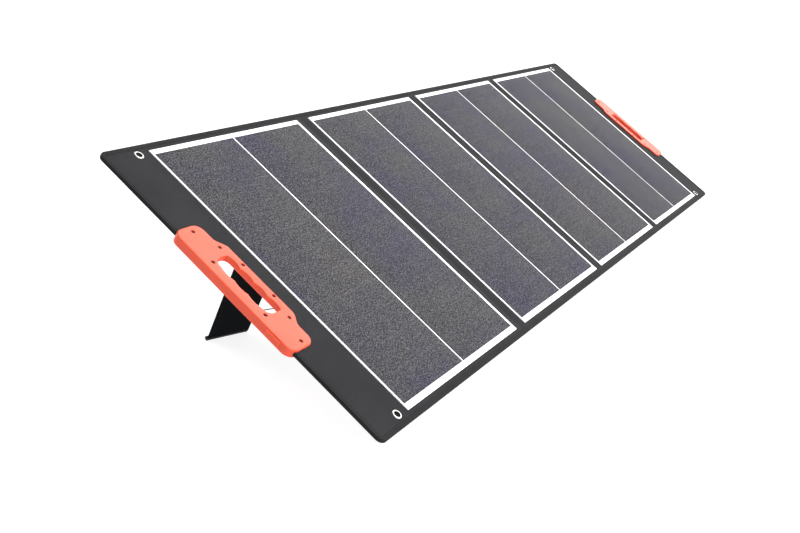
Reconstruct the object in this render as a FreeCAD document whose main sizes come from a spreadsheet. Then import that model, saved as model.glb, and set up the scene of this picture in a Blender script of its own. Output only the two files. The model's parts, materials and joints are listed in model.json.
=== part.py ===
"""Portable four-fold solar panel, standing open on its two rear legs.

Every piece is laid out flat first. In that layout x runs along the row of
four modules with zero at its middle, y runs up from the bottom edge of the
fabric, and z is zero on the back of the fabric and grows towards the sun.
One placement then leans the flat layout back and sets it on the floor.
"""

import FreeCAD
import Part

import math
import os

Vector = FreeCAD.Vector
Rotation = FreeCAD.Rotation
Placement = FreeCAD.Placement

SIZES = {
    # modules and their places along the row
    "module_width": 345.0,
    "module_height": 483.0,
    "edge_margin": 13.0,
    "outer_margin": 80.0,
    "outer_fold_gap": 34.0,
    "middle_fold_gap": 28.0,
    "far_fold_gap": 30.0,
    "seam_clearance": 0.3,
    "lean_angle": 36.5,
    # layers from back to front
    "cloth_thickness": 0.7,
    "board_thickness": 3.0,
    "sheet_thickness": 0.8,
    "cell_thickness": 0.3,
    "film_thickness": 0.7,
    # layers in plan
    "board_overlap": 4.0,
    "board_inset": 1.0,
    "left_border": 2.4,
    "right_border": 6.2,
    "end_border": 8.9,
    "string_gap": 2.0,
    "corner_radius": 10.0,
    # folded edge tape
    "tape_thickness": 0.6,
    "tape_wrap": 7.0,
    # carrying handles
    "handle_reach": 87.8,
    "handle_length": 214.0,
    "lobe_inner": 40.8,
    "waist_inner": 40.5,
    "waist_half": 76.0,
    "bulge_inner": 29.4,
    "bulge_half": 62.0,
    "slot_inner": 44.6,
    "slot_outer": 68.8,
    "slot_half": 49.0,
    "slot_corner": 11.0,
    "grip_pitch": 24.5,
    "inner_grip_depth": 2.8,
    "outer_grip_depth": 2.0,
    "rear_slot_inner": 38.3,
    "rear_slot_outer": 71.2,
    "rear_slot_half": 51.0,
    "rear_slot_corner": 9.0,
    "notch_inner": 31.5,
    "notch_half": 54.0,
    "notch_corner": 3.0,
    "shell_front": 4.0,
    "shell_rear": 4.4,
    "shell_clearance": 0.2,
    "screw_radius": 1.5,
    "screw_head_radius": 2.6,
    "screw_head_height": 1.0,
    "screw_bore_floor": 0.6,
    "screw_tip_room": 0.2,
    "latch_length": 24.0,
    "latch_width": 9.0,
    "latch_depth": 2.4,
    "latch_chamfer": 1.2,
    "latch_centre": 75.0,
    # eyelets
    "eyelet_inset": 22.0,
    "eyelet_drop": 4.0,
    "eyelet_hole": 4.0,
    "eyelet_barrel": 4.6,
    "eyelet_flange": 6.9,
    "eyelet_rise": 1.1,
    # rear legs
    "leg_offset": 60.0,
    "leg_hinge_height": 312.0,
    "leg_hinge_slope": 18.0,
    "leg_open_angle": 96.0,
    "leg_width": 66.0,
    "leg_core": 3.0,
    "leg_skin": 0.6,
    "leg_stand_off": 1.2,
    "leg_top_gap": 3.0,
    "foot_height": 5.0,
    "foot_lip": 4.0,
    "foot_thickness": 6.0,
    "patch_height": 26.0,
    "patch_thickness": 0.8,
    # stay cords
    "cord_radius": 0.75,
    "cord_leg_rise": 57.0,
    "cord_leg_inset": 3.0,
    "cord_anchor_offset": 93.0,
    "cord_anchor_height": 185.0,
    "anchor_radius": 5.0,
    "anchor_height": 0.8,
    # junction box on the back of the last panel
    "box_length": 112.0,
    "box_width": 62.0,
    "box_depth": 16.0,
    "box_wall": 2.0,
    "lid_depth": 2.5,
    "box_offset": 235.0,
    "box_height": 380.0,
    "rod_clearance": 0.1,
    "box_post_radius": 4.4,
    "box_post_inset": 5.08,
    "box_bore_depth": 8.6,
    "box_shank_radius": 1.5,
    "box_shank_length": 8.0,
    "box_head_radius": 3.2,
    "box_head_height": 1.2,
    "socket_radius": 7.0,
    "socket_bore": 4.0,
    "socket_length": 14.0,
    "socket_flange": 2.0,
    "socket_step": 1.0,
}

BOX_BORE = "box_shank_radius + rod_clearance"
FOLD_RISE = 1.5
BACK_FOLD_DROP = 2.0
OVERCUT = 1.0

doc = FreeCAD.newDocument("SolarPanel")
sheet = doc.addObject("Spreadsheet::Sheet", "Sizes")
for row, (alias, number) in enumerate(SIZES.items(), start=1):
    sheet.set("A%d" % row, alias)
    sheet.set("B%d" % row, str(number))
    sheet.setAlias("B%d" % row, alias)
doc.recompute()


def size(alias):
    return float(sheet.get(alias))


# ---------------------------------------------------------------- layout
WIDTH = size("module_width")
HEIGHT = size("module_height") + 2 * size("edge_margin")
MIDDLE = HEIGHT / 2
CLOTH = size("cloth_thickness")
BOARD_TOP = CLOTH + size("board_thickness")
CLOTH_TOP = BOARD_TOP + CLOTH
SPLIT = CLOTH_TOP / 2
HALF_LAYERS = "board_thickness / 2 + cloth_thickness"
SHEET_TOP = CLOTH_TOP + size("sheet_thickness")
FRONT = SHEET_TOP + size("film_thickness")
GAPS = [size("outer_fold_gap"), size("middle_fold_gap"), size("far_fold_gap")]
ROW = 4 * WIDTH + sum(GAPS) + 2 * size("outer_margin")
PANELS = ["panel_1", "panel_2", "panel_3", "panel_4"]

module_left = [-ROW / 2 + size("outer_margin")]
for fold_gap in GAPS:
    module_left.append(module_left[-1] + WIDTH + fold_gap)
seams = [module_left[i] + WIDTH + GAPS[i] / 2 for i in range(3)]

lean = math.radians(size("lean_angle"))
tape = size("tape_thickness")
front_reach = -tape * math.cos(lean) - (CLOTH_TOP + tape) * math.sin(lean)
back_reach = (HEIGHT + tape) * math.cos(lean) + tape * math.sin(lean)
STANDING = Placement(
    Vector(0, -(front_reach + back_reach) / 2, tape * (math.sin(lean) + math.cos(lean))),
    Rotation(Vector(1, 0, 0), size("lean_angle")),
)


def standing(x, y, z):
    """Placement of a piece whose own origin lies at x, y, z of the flat layout."""
    return STANDING.multiply(Placement(Vector(x, y, z), Rotation()))


# ---------------------------------------------------------------- shape helpers
def link(alias_or_formula):
    """Write the sheet's aliases of a formula in the form that an expression needs."""
    words = alias_or_formula.split()
    return " ".join("Sizes." + word if word in SIZES else word for word in words)


def finish(piece, label):
    piece.Label = label
    pieces[label] = piece
    return piece


def make_box(name, formulas, corner):
    """A block whose three sizes are formulas of the sheet, with its low corner in the layout."""
    block = doc.addObject("Part::Box", name)
    for side, formula in zip(("Length", "Width", "Height"), formulas):
        block.setExpression(side, link(formula))
    block.Placement = standing(*corner)
    return block


def make_cut(name, base, tool):
    cut = doc.addObject("Part::Cut", name)
    cut.Base = base
    cut.Tool = tool
    return cut


def make_group(name, members):
    group = doc.addObject("Part::Compound", name)
    group.Links = members
    return group


def rounded_outline(corners):
    """Lines and arcs round a closed polygon given as (x, y, corner radius)."""
    points = [Vector(x, y, 0) for x, y, _ in corners]
    count = len(points)
    entries = []
    for i, (_, _, radius) in enumerate(corners):
        before = (points[i - 1] - points[i]).normalize()
        after = (points[(i + 1) % count] - points[i]).normalize()
        half_turn = before.getAngle(after) / 2
        setback = radius / math.tan(half_turn) if radius else 0.0
        middle = (before + after).normalize() * (radius / math.sin(half_turn) - radius if radius else 0.0)
        entries.append((points[i] + before * setback, points[i] + middle, points[i] + after * setback))
    edges = []
    for i, (start, middle, end) in enumerate(entries):
        if corners[i][2]:
            edges.append(Part.Arc(start, middle, end))
        following = entries[(i + 1) % count][0]
        if (following - end).Length > 1e-6:
            edges.append(Part.LineSegment(end, following))
    return edges


def mirrored(corners, side):
    """The same outline with its x values on the chosen side of the row's middle."""
    return [(side * x, y, radius) for x, y, radius in corners]


def make_body(name):
    return doc.addObject("PartDesign::Body", name)


def make_sketch(body, name, geometry, height=0.0):
    """A sketch parallel to the body's own ground plane."""
    ground = next(feature for feature in body.Origin.OriginFeatures if feature.Role == "XY_Plane")
    sketch = body.newObject("Sketcher::SketchObject", name)
    sketch.AttachmentSupport = [(ground, "")]
    sketch.MapMode = "FlatFace"
    sketch.AttachmentOffset = Placement(Vector(0, 0, height), Rotation())
    sketch.addGeometry(geometry, False)
    return sketch


def make_pad(body, name, sketch, formula):
    pad = body.newObject("PartDesign::Pad", name)
    pad.Profile = sketch
    pad.setExpression("Length", link(formula))
    sketch.Visibility = False
    return pad


def make_pocket(body, name, sketch, formula, upwards):
    """Cut a sketch out of the body, and check that something was removed."""
    volume = body.Shape.Volume
    pocket = body.newObject("PartDesign::Pocket", name)
    pocket.Profile = sketch
    pocket.setExpression("Length", link(formula))
    pocket.Reversed = upwards
    doc.recompute()
    if not body.Shape.Volume < volume - 1e-3:
        raise ValueError("%s removes nothing" % name)
    return pocket


def circles(centres, radius):
    return [Part.Circle(Vector(x, y, 0), Vector(0, 0, 1), radius) for x, y in centres]


pieces = {}

# ---------------------------------------------------------------- places on an end panel
END = ROW / 2
MODULE_EDGE = END - size("outer_margin")
ROD_CLEAR = size("rod_clearance")


def eyelet_centres(side):
    x = side * (MODULE_EDGE + size("eyelet_inset"))
    low = size("edge_margin") + size("eyelet_drop")
    return [(x, low), (x, HEIGHT - low)]


def screw_centres(side):
    """Eight screws, as four pairs set evenly about the middle of the handle."""
    pairs = (
        (size("lobe_inner") + 18.9, 97.5),
        (size("bulge_inner") + 13.9, 63.3),
        (size("slot_outer") + 5.0, 46.8),
        (size("bulge_inner") + 5.3, 28.1),
    )
    return [(side * (MODULE_EDGE + x), MIDDLE + sign * y) for x, y in pairs for sign in (1, -1)]


def through_cloth(side):
    """The screws that pass through the fabric and its board, outside the finger notch."""
    inner_limit = MODULE_EDGE + size("notch_inner")
    return [
        (x, y)
        for x, y in screw_centres(side)
        if abs(x) < inner_limit or abs(y - MIDDLE) > size("notch_half")
    ]


def end_outline(side, inset, seam):
    """Outline of a layer of an end panel, with its notch for the fingers."""
    radius = size("corner_radius") - inset
    outer = END - inset
    notch = MODULE_EDGE + size("notch_inner") - inset
    half = size("notch_half") + inset
    corners = [
        (seam, inset, 0),
        (outer, inset, radius),
        (outer, MIDDLE - half, 0),
        (notch, MIDDLE - half, size("notch_corner")),
        (notch, MIDDLE + half, size("notch_corner")),
        (outer, MIDDLE + half, 0),
        (outer, HEIGHT - inset, radius),
        (seam, HEIGHT - inset, 0),
    ]
    return rounded_outline(mirrored(corners, side))


def end_layer(name, label, side, inset, seam, height, formula):
    """One layer of an end panel, pierced for the eyelets and the handle's screws."""
    body = make_body(name)
    geometry = end_outline(side, inset, seam)
    geometry += circles(eyelet_centres(side), size("eyelet_barrel") + ROD_CLEAR)
    geometry += circles(through_cloth(side), size("screw_radius") + ROD_CLEAR)
    sketch = make_sketch(body, name + "Outline", geometry)
    make_pad(body, name + "Pad", sketch, formula)
    body.Placement = standing(0, 0, height)
    finish(body, label)


# ---------------------------------------------------------------- fabric, boards and modules
def module_pieces(index):
    """White backing sheet, two strings of cells and the clear film of one module."""
    label = PANELS[index]
    left = module_left[index]
    bottom = size("edge_margin")
    white = make_box(
        label + "WhiteSheet",
        ("module_width", "module_height", "sheet_thickness"),
        (left, bottom, CLOTH_TOP),
    )
    finish(white, label + "_backsheet")
    string_width = "( module_width - left_border - right_border - string_gap ) / 2"
    string_sizes = (string_width, "module_height - 2 * end_border", "cell_thickness")
    pitch = (WIDTH - size("left_border") - size("right_border") + size("string_gap")) / 2
    first = left + size("left_border")
    corners = [(first + n * pitch, bottom + size("end_border"), SHEET_TOP) for n in range(2)]
    strings = [make_box(label + "String%d" % n, string_sizes, corners[n]) for n in range(2)]
    finish(make_group(label + "Strings", strings), label + "_cell_strings")
    block = make_box(
        label + "FilmBlock",
        ("module_width", "module_height", "film_thickness"),
        (left, bottom, SHEET_TOP),
    )
    rooms = [make_box(label + "FilmRoom%d" % n, string_sizes, corners[n]) for n in range(2)]
    room = make_group(label + "FilmRoom", rooms)
    finish(make_cut(label + "Film", block, room), label + "_front_film")


def middle_layers(index):
    """Cloth, board and cloth of one of the two middle panels, from seam to seam."""
    label = PANELS[index]
    start = seams[index - 1] + size("seam_clearance")
    gap_before, gap_after = (
        ("outer_fold_gap", "middle_fold_gap") if index == 1 else ("middle_fold_gap", "far_fold_gap")
    )
    cloth_length = "module_width + ( %s + %s ) / 2 - 2 * seam_clearance" % (gap_before, gap_after)
    cloth_sizes = (cloth_length, "module_height + 2 * edge_margin", "cloth_thickness")
    finish(make_box(label + "BackCloth", cloth_sizes, (start, 0, 0)), label + "_back_fabric")
    finish(make_box(label + "FrontCloth", cloth_sizes, (start, 0, BOARD_TOP)), label + "_front_fabric")
    inset = size("board_inset")
    board_sizes = (
        "module_width + 2 * board_overlap",
        "module_height + 2 * edge_margin - 2 * board_inset",
        "board_thickness",
    )
    corner = (module_left[index] - size("board_overlap"), inset, CLOTH)
    finish(make_box(label + "Board", board_sizes, corner), label + "_board")


def end_layers(label, side, seam):
    """Cloth, board and cloth of an end panel, out to the handle's edge."""
    cloth_seam = abs(seam) + size("seam_clearance")
    board_seam = MODULE_EDGE - WIDTH - size("board_overlap")
    inset = size("board_inset")
    end_layer(label + "BackCloth", label + "_back_fabric", side, 0, cloth_seam, 0, "cloth_thickness")
    end_layer(
        label + "FrontCloth", label + "_front_fabric", side, 0, cloth_seam, BOARD_TOP, "cloth_thickness"
    )
    end_layer(label + "Board", label + "_board", side, inset, board_seam, CLOTH, "board_thickness")


def edge_tape(index):
    """Woven tape folded over the free edges of one panel: a channel of even thickness."""
    label = PANELS[index]
    start = -END if index == 0 else seams[index - 1] + size("seam_clearance")
    stop = END if index == 3 else seams[index] - size("seam_clearance")
    low = start - (tape if index == 0 else 0)
    high = stop + (tape if index == 3 else 0)
    radius = size("corner_radius")
    wrap = size("tape_wrap")
    round_low = 1 if index == 0 else 0
    round_high = 1 if index == 3 else 0

    def slab(name, x_low, x_high, grow, bottom, top, corner):
        corners = [
            (x_low, -grow, corner * round_low),
            (x_high, -grow, corner * round_high),
            (x_high, HEIGHT + grow, corner * round_high),
            (x_low, HEIGHT + grow, corner * round_low),
        ]
        face = Part.Face(Part.Wire([edge.toShape() for edge in rounded_outline(corners)]))
        face.translate(Vector(0, 0, bottom))
        return face.extrude(Vector(0, 0, top - bottom))

    past_low = 0 if index == 0 else OVERCUT
    past_high = 0 if index == 3 else OVERCUT
    outer = slab("Outer", low, high, tape, -tape, CLOTH_TOP + tape, radius + tape)
    filling = slab("Filling", start - past_low, stop + past_high, 0, 0, CLOTH_TOP, radius)
    window_low = start + wrap if index == 0 else start - OVERCUT
    window_high = stop - wrap if index == 3 else stop + OVERCUT
    window = slab("Window", window_low, window_high, -wrap, -OVERCUT, CLOTH_TOP + OVERCUT, 2.0)
    shape = outer.cut(filling).cut(window)
    if index in (0, 3):
        side = -1 if index == 0 else 1
        reach = 2 * wrap
        half = size("notch_half") - size("shell_clearance")
        gate = Part.makeBox(2 * reach, 2 * half, 4 * FRONT)
        gate.translate(Vector(side * END - reach, MIDDLE - half, -FRONT))
        shape = shape.cut(gate)
    feature = doc.addObject("Part::Feature", label + "Tape")
    feature.Shape = shape
    feature.Placement = STANDING
    finish(feature, label + "_edge_tape")


# ---------------------------------------------------------------- handles
def finger_hollows(side, reach, count, depth):
    """Shallow arcs, one to a finger, along one gripping side of the finger slot."""
    pitch = size("grip_pitch")
    x = side * (MODULE_EDGE + reach)
    deep = x + side * depth
    arcs = []
    for step in range(count):
        low = MIDDLE + (step - count / 2) * pitch
        ends = Vector(x, low, 0), Vector(x, low + pitch, 0)
        arcs.append(Part.Arc(ends[0], Vector(deep, low + pitch / 2, 0), ends[1]))
    return arcs


def slot_end(side, end):
    """Rounded end of the front shell's finger slot, from its inner side to its outer side."""
    inner = MODULE_EDGE + size("slot_inner")
    outer = MODULE_EDGE + size("slot_outer")
    near = MIDDLE + end * 1.5 * size("grip_pitch")
    far = MIDDLE + end * size("slot_half")
    corners = [(inner, far, 0), (outer, far, size("slot_corner")), (outer, near, 0)]
    return rounded_outline(mirrored(corners, side))[:-1]


def front_slot(side):
    """Slot of the front shell, with hollows for the fingers and for the palm."""
    geometry = finger_hollows(side, size("slot_inner"), 4, -size("inner_grip_depth"))
    geometry += finger_hollows(side, size("slot_outer"), 3, size("outer_grip_depth"))
    return geometry + slot_end(side, 1) + slot_end(side, -1)


def rear_slot(side):
    """Slot of the rear shell: plain, and a little larger all round than the front one."""
    inner = MODULE_EDGE + size("rear_slot_inner")
    outer = MODULE_EDGE + size("rear_slot_outer")
    half = size("rear_slot_half")
    radius = size("rear_slot_corner")
    corners = [
        (inner, MIDDLE - half, radius),
        (outer, MIDDLE - half, radius),
        (outer, MIDDLE + half, radius),
        (inner, MIDDLE + half, radius),
    ]
    return rounded_outline(mirrored(corners, side))


def handle_outline(side):
    outer = size("handle_reach")
    half = size("handle_length") / 2
    quarter = [
        (outer, half, 14.0),
        (size("lobe_inner"), half, 13.0),
        (size("waist_inner"), size("waist_half"), 10.0),
        (size("bulge_inner"), size("bulge_half"), 14.0),
    ]
    lower = [(x, -y, radius) for x, y, radius in reversed(quarter)]
    corners = [(MODULE_EDGE + x, MIDDLE + y, radius) for x, y, radius in quarter + lower]
    return rounded_outline(mirrored(corners, side))


def cloth_room(side):
    """Room that both shells leave for the taped fabric, outside the wall of the finger slot."""
    clear = size("shell_clearance")
    outer = END + tape + clear
    inner = MODULE_EDGE + size("bulge_inner") - 10
    notch = MODULE_EDGE + size("notch_inner") + clear
    half = size("notch_half") - 2 * clear
    past = size("handle_length") / 2 + 10
    corners = [
        (outer, MIDDLE - past, 0),
        (outer, MIDDLE - half, 0),
        (notch, MIDDLE - half, 0),
        (notch, MIDDLE + half, 0),
        (outer, MIDDLE + half, 0),
        (outer, MIDDLE + past, 0),
        (inner, MIDDLE + past, 0),
        (inner, MIDDLE - past, 0),
    ]
    return rounded_outline(mirrored(corners, side))


def handle_half(side, name, slot, base, thickness, upwards):
    """One half of a handle up to the split at mid thickness, less the room for the taped fabric."""
    body = make_body(name)
    outline = make_sketch(body, name + "Outline", handle_outline(side) + slot, base)
    make_pad(body, name + "Pad", outline, HALF_LAYERS + " + " + thickness)
    doc.recompute()
    room = make_sketch(body, name + "Room", cloth_room(side), SPLIT)
    room_depth = HALF_LAYERS + " + tape_thickness + shell_clearance / 2"
    make_pocket(body, name + "Pocket", room, room_depth, upwards)
    return body


def handle_shells(side, word):
    """Front and rear halves that meet at mid thickness and clamp the edge of the fabric."""
    name = "Handle" + word.capitalize()
    centres = screw_centres(side)
    bores = circles(centres, size("screw_radius") + ROD_CLEAR)

    front = handle_half(side, name + "Front", front_slot(side), SPLIT, "shell_front", True)
    shanks = make_sketch(front, name + "FrontShanks", bores, SPLIT)
    make_pocket(front, name + "FrontBores", shanks, HALF_LAYERS + " + shell_front", True)
    recesses = circles(centres, size("screw_head_radius") + size("shell_clearance"))
    heads = make_sketch(front, name + "FrontHeads", recesses, CLOTH_TOP + size("shell_front"))
    make_pocket(front, name + "FrontRecesses", heads, "2 * screw_head_height", False)
    front.Placement = STANDING
    finish(front, "handle_%s_front_shell" % word)

    rear = handle_half(side, name + "Rear", rear_slot(side), -size("shell_rear"), "shell_rear", False)
    shanks = make_sketch(rear, name + "RearShanks", bores, SPLIT)
    make_pocket(rear, name + "RearBores", shanks, HALF_LAYERS + " + shell_rear - screw_bore_floor", False)
    rear.Placement = STANDING
    finish(rear, "handle_%s_rear_shell" % word)


def handle_screws(side, word):
    """Pan-head screws driven from the front shell into the rear one, as one group."""
    under_head = CLOTH_TOP + size("shell_front") - 2 * size("screw_head_height")
    tip = size("screw_bore_floor") + size("screw_tip_room") - size("shell_rear")
    members = []
    for n, (x, y) in enumerate(screw_centres(side)):
        head = doc.addObject("Part::Cylinder", "ScrewHead%s%d" % (word, n))
        head.setExpression("Radius", link("screw_head_radius"))
        head.setExpression("Height", link("screw_head_height"))
        head.Placement = standing(x, y, under_head)
        shank = doc.addObject("Part::Cylinder", "ScrewShank%s%d" % (word, n))
        shank.setExpression("Radius", link("screw_radius"))
        shank.Height = under_head - tip
        shank.Placement = standing(x, y, tip)
        screw = doc.addObject("Part::Fuse", "Screw%s%d" % (word, n))
        screw.Base = head
        screw.Tool = shank
        members.append(screw)
    finish(make_group("Screws" + word, members), "handle_%s_screws" % word)


def handle_latch(side, word):
    """Raised catch on the outer side of a handle, near its lower end."""
    outer = side * (MODULE_EDGE + size("handle_reach"))
    x = outer if side > 0 else outer - size("latch_depth")
    y = MIDDLE - size("latch_centre") - size("latch_length") / 2
    z = SPLIT - size("latch_width") / 2
    block = make_box("LatchBlock" + word, ("latch_depth", "latch_length", "latch_width"), (x, y, z))
    doc.recompute()
    latch = doc.addObject("Part::Chamfer", "Latch" + word)
    latch.Base = block
    face_x = outer + side * size("latch_depth")
    flat = STANDING.inverse()
    chosen = []
    for number, edge in enumerate(block.Shape.Edges, start=1):
        ends = [flat.multVec(vertex.Point) for vertex in edge.Vertexes]
        if all(abs(point.x - face_x) < 1e-3 for point in ends):
            chosen.append((number, size("latch_chamfer"), size("latch_chamfer")))
    latch.Edges = chosen
    finish(latch, "handle_%s_latch" % word)


# ---------------------------------------------------------------- eyelets
def eyelets(side, word):
    """Rolled metal eyelets: a domed flange with a barrel, and a flat washer behind."""
    hole = size("eyelet_hole")
    barrel = size("eyelet_barrel")
    flange = size("eyelet_flange")
    rise = size("eyelet_rise")
    flanges = []
    washers = []
    for n, (x, y) in enumerate(eyelet_centres(side)):
        crown = (hole + flange) / 2
        profile = Part.Wire(
            [
                Part.LineSegment(Vector(hole, 0, -rise), Vector(barrel, 0, -rise)).toShape(),
                Part.LineSegment(Vector(barrel, 0, -rise), Vector(barrel, 0, CLOTH_TOP)).toShape(),
                Part.LineSegment(Vector(barrel, 0, CLOTH_TOP), Vector(flange, 0, CLOTH_TOP)).toShape(),
                Part.Arc(
                    Vector(flange, 0, CLOTH_TOP),
                    Vector(crown, 0, CLOTH_TOP + rise),
                    Vector(hole, 0, CLOTH_TOP),
                ).toShape(),
                Part.LineSegment(Vector(hole, 0, CLOTH_TOP), Vector(hole, 0, -rise)).toShape(),
            ]
        )
        turned = Part.Face(profile).revolve(Vector(0, 0, 0), Vector(0, 0, 1), 360)
        flange_part = doc.addObject("Part::Feature", "Eyelet%s%d" % (word, n))
        flange_part.Shape = Part.Solid(turned) if turned.ShapeType == "Shell" else turned
        flange_part.Placement = standing(x, y, 0)
        flanges.append(flange_part)
        disc = doc.addObject("Part::Cylinder", "WasherDisc%s%d" % (word, n))
        disc.setExpression("Radius", link("eyelet_flange"))
        disc.setExpression("Height", link("eyelet_rise"))
        disc.Placement = standing(x, y, -rise)
        core = doc.addObject("Part::Cylinder", "WasherCore%s%d" % (word, n))
        core.setExpression("Radius", link("eyelet_barrel"))
        core.setExpression("Height", link("3 * eyelet_rise"))
        core.Placement = standing(x, y, -2 * rise)
        washers.append(make_cut("Washer%s%d" % (word, n), disc, core))
    finish(make_group("Eyelets" + word, flanges), "eyelets_" + word)
    finish(make_group("Washers" + word, washers), "eyelet_washers_" + word)


# ---------------------------------------------------------------- rear legs
def leg_axis(side):
    """A point on the leg's hinge line and the line's direction, in the flat layout."""
    x = side * (MODULE_EDGE - size("leg_offset"))
    point = Vector(x, size("leg_hinge_height"), -size("leg_stand_off"))
    slope = math.radians(size("leg_hinge_slope"))
    return point, Vector(math.cos(slope), side * math.sin(slope), 0)


def opened(side):
    """Placement that swings a leg from flat against the back to its open position."""
    point, direction = leg_axis(side)
    return STANDING.multiply(Placement(Vector(0, 0, 0), Rotation(direction, size("leg_open_angle")), point))


def hinge_y(side, x):
    """Height of the hinge line at a place along the row."""
    point, direction = leg_axis(side)
    return point.y + (x - point.x) * direction.y / direction.x


def floor_y(side, x):
    """Lowest place of the folded leg at x that is on or above the floor once the leg is open."""
    swing = opened(side)
    face = -size("leg_stand_off")
    lowest = []
    for z in (face, face - size("foot_thickness")):
        low = swing.multVec(Vector(x, 0, z)).z
        high = swing.multVec(Vector(x, 100, z)).z
        lowest.append(-100 * low / (high - low))
    return max(lowest)


def leg_slab(x_low, x_high, z_low, z_high, bottom, top):
    """Part of the folded leg between two lines, each given as its height at a place along the row."""
    corners = [
        Vector(x_low, bottom(x_low), z_low),
        Vector(x_high, bottom(x_high), z_low),
        Vector(x_high, top(x_high), z_low),
        Vector(x_low, top(x_low), z_low),
    ]
    face = Part.Face(Part.makePolygon(corners + corners[:1]))
    return face.extrude(Vector(0, 0, z_high - z_low))


def leg_feature(name, label, side, shape):
    feature = doc.addObject("Part::Feature", name)
    feature.Shape = shape
    feature.Placement = opened(side)
    finish(feature, label)


def leg_pieces(side, word):
    """Stiff core, its two cloth skins, the foot strip and the patch that the leg turns on."""
    name = "Leg" + word.capitalize()
    centre = side * (MODULE_EDGE - size("leg_offset"))
    low = centre - size("leg_width") / 2
    high = centre + size("leg_width") / 2
    skin = size("leg_skin")
    inner = -size("leg_stand_off") - skin
    outer = inner - size("leg_core")

    def leg_top(x):
        return hinge_y(side, x) - size("leg_top_gap")

    def foot_top(x):
        return floor_y(side, x) + size("foot_height")

    def foot_bottom(x):
        return floor_y(side, x)

    core = leg_slab(low, high, outer, inner, foot_top, leg_top)
    leg_feature(name + "Core", "leg_%s_board" % word, side, core)
    front_skin = leg_slab(low, high, inner, inner + skin, foot_top, leg_top)
    rear_skin = leg_slab(low, high, outer - skin, outer, foot_top, leg_top)
    leg_feature(name + "Skins", "leg_%s_cover" % word, side, Part.makeCompound([front_skin, rear_skin]))

    lip = size("foot_lip")
    foot_low = low - (lip if side < 0 else 0)
    foot_high = high + (lip if side > 0 else 0)
    sole = inner + skin - size("foot_thickness")
    strip = leg_slab(foot_low, foot_high, sole, inner + skin, foot_bottom, foot_top)
    leg_feature(name + "Foot", "leg_%s_foot" % word, side, strip)

    point, direction = leg_axis(side)
    across = Vector(-direction.y, direction.x, 0)
    half = direction * (size("leg_width") / 2 / direction.x)
    base = Vector(point.x, point.y, 0)
    corners = [base - half, base + half]
    corners += [base + half + across * size("patch_height"), base - half + across * size("patch_height")]
    face = Part.Face(Part.makePolygon(corners + corners[:1]))
    patch = doc.addObject("Part::Feature", name + "Patch")
    patch.Shape = face.extrude(Vector(0, 0, -size("patch_thickness")))
    patch.Placement = STANDING
    finish(patch, "leg_%s_hinge_patch" % word)


def stay_ends(side):
    """The two ends of a leg's stay cord in the standing frame: on the leg, then on the back."""
    inner_edge = side * (MODULE_EDGE - size("leg_offset")) - side * size("leg_width") / 2
    x = inner_edge + side * (size("cord_leg_inset") + size("anchor_radius"))
    face = -size("leg_stand_off")
    on_leg = opened(side).multVec(Vector(x, floor_y(side, x) + size("cord_leg_rise"), face))
    back_x = side * (MODULE_EDGE - size("cord_anchor_offset"))
    on_back = STANDING.multVec(Vector(back_x, size("cord_anchor_height"), 0))
    return on_leg, on_back


def stay_pieces(side, word):
    """Stay cord that stops the leg, pulled straight between two small sewn anchors."""
    on_leg, on_back = stay_ends(side)
    leg_out = opened(side).Rotation.multVec(Vector(0, 0, 1))
    back_out = STANDING.Rotation.multVec(Vector(0, 0, -1))
    rise = size("anchor_height")
    for where, point, out in (("leg", on_leg, leg_out), ("back", on_back, back_out)):
        anchor = doc.addObject("Part::Cone", "Anchor%s%s" % (where, word))
        anchor.setExpression("Radius1", link("anchor_radius"))
        anchor.setExpression("Radius2", link("anchor_radius / 2"))
        anchor.setExpression("Height", link("anchor_height"))
        anchor.Placement = Placement(point, Rotation(Vector(0, 0, 1), out))
        finish(anchor, "stay_%s_%s_anchor" % (word, where))
    start = on_leg + leg_out * rise
    stop = on_back + back_out * rise
    line = (stop - start).normalize()
    trim = size("cord_radius") * 2
    cord = doc.addObject("Part::Cylinder", "Cord" + word)
    cord.setExpression("Radius", link("cord_radius"))
    cord.Height = (stop - start).Length - 2 * trim
    cord.Placement = Placement(start + line * trim, Rotation(Vector(0, 0, 1), line))
    finish(cord, "stay_%s_cord" % word)


# ---------------------------------------------------------------- junction box
def rod(name, radius, height, placement):
    """A cylinder whose radius and height are formulas of the sheet."""
    cylinder = doc.addObject("Part::Cylinder", name)
    cylinder.setExpression("Radius", link(radius))
    cylinder.setExpression("Height", link(height))
    cylinder.Placement = placement
    return cylinder


def box_fixings(centre_x):
    """Posts of the housing, holes of the lid and the four screws that join them."""
    depth = size("box_depth")
    lid_face = -depth - size("lid_depth")
    reach_x = size("box_length") / 2 - size("box_post_inset")
    reach_y = size("box_width") / 2 - size("box_post_inset")
    posts = []
    holes = []
    screws = []
    for n, (sign_x, sign_y) in enumerate(((-1, -1), (-1, 1), (1, -1), (1, 1))):
        x = centre_x + sign_x * reach_x
        y = size("box_height") + sign_y * reach_y
        post = rod("BoxPost%d" % n, "box_post_radius", "box_depth - box_wall / 2", standing(x, y, -depth))
        bore_low = standing(x, y, -depth - size("box_bore_depth"))
        bore = rod("BoxBore%d" % n, BOX_BORE, "2 * box_bore_depth", bore_low)
        posts.append(make_cut("BoxPostBored%d" % n, post, bore))
        hole_low = standing(x, y, lid_face - size("lid_depth"))
        holes.append(rod("LidHole%d" % n, BOX_BORE, "3 * lid_depth", hole_low))
        head_low = standing(x, y, lid_face - size("box_head_height"))
        screw = doc.addObject("Part::Fuse", "BoxScrew%d" % n)
        screw.Base = rod("BoxScrewHead%d" % n, "box_head_radius", "box_head_height", head_low)
        shank_low = standing(x, y, lid_face)
        screw.Tool = rod("BoxScrewShank%d" % n, "box_shank_radius", "box_shank_length", shank_low)
        screws.append(screw)
    return posts, holes, screws


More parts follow.
